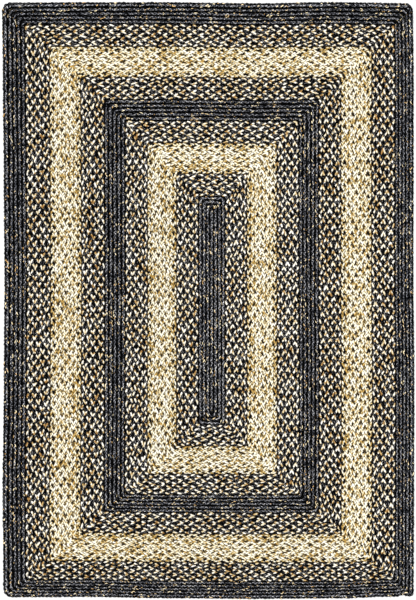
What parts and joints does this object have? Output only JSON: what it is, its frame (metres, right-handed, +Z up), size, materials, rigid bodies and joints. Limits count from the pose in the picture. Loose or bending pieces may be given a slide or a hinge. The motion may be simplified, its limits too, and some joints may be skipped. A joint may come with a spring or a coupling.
{
  "type": "braided rug",
  "caption": "Rectangular braided jute rug, laced row beside row, with cream and flecked bands between dark ones round a long dark centre.",
  "frame": {"origin": "on the floor under the middle of the rug's outline", "axes": "+Y along the rug's length, +X across its width, +Z up out of its face"},
  "size_m": [1.2258, 1.777, 0.009],
  "materials": {
    "charcoal_braid": "charcoal-dyed jute braid with grey fibres and a few tan slivers",
    "flecked_braid": "jute braid of charcoal strands and one cream-to-tan strand",
    "cream_braid": "bleached and natural jute braid, cream with tan patches"
  },
  "bodies": {
    "root": {"dark_border": "charcoal_braid", "outer_flecked_band": "flecked_braid", "outer_cream_band": "cream_braid", "second_flecked_band": "flecked_braid", "inner_dark_band": "charcoal_braid", "third_flecked_band": "flecked_braid", "inner_cream_band": "cream_braid", "inner_flecked_band": "flecked_braid", "dark_centre": "charcoal_braid"}
  },
  "joints": []
}
